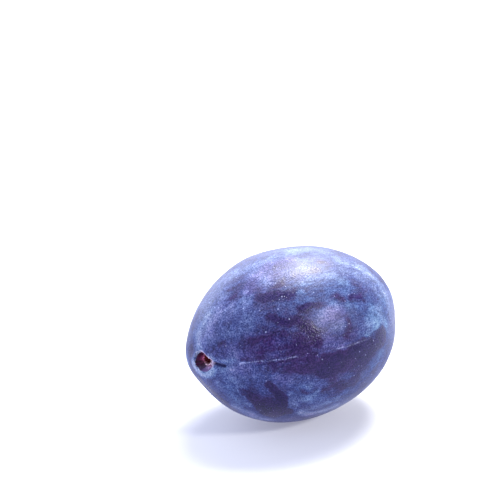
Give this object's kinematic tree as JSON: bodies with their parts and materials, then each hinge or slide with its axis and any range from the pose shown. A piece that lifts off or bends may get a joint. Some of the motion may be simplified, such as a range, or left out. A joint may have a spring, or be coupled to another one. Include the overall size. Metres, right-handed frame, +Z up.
{
  "type": "plum",
  "caption": "Whole ripe blue plum with a waxy bloom, its stalk pulled out, lying on its side on a small flat spot.",
  "frame": {"origin": "on the flat spot that the plum lies on, right below the middle of its long axis", "axes": "+X from the stalk socket along the plum's long axis to its tip, +Z up, -Y the side that the seam faces"},
  "size_m": [0.0509, 0.0376, 0.0372],
  "materials": {
    "plum_skin": "dark purple-blue skin under a pale blue waxy bloom, rubbed off in patches; satin"
  },
  "bodies": {
    "root": {"plum_fruit": "plum_skin"}
  },
  "joints": []
}
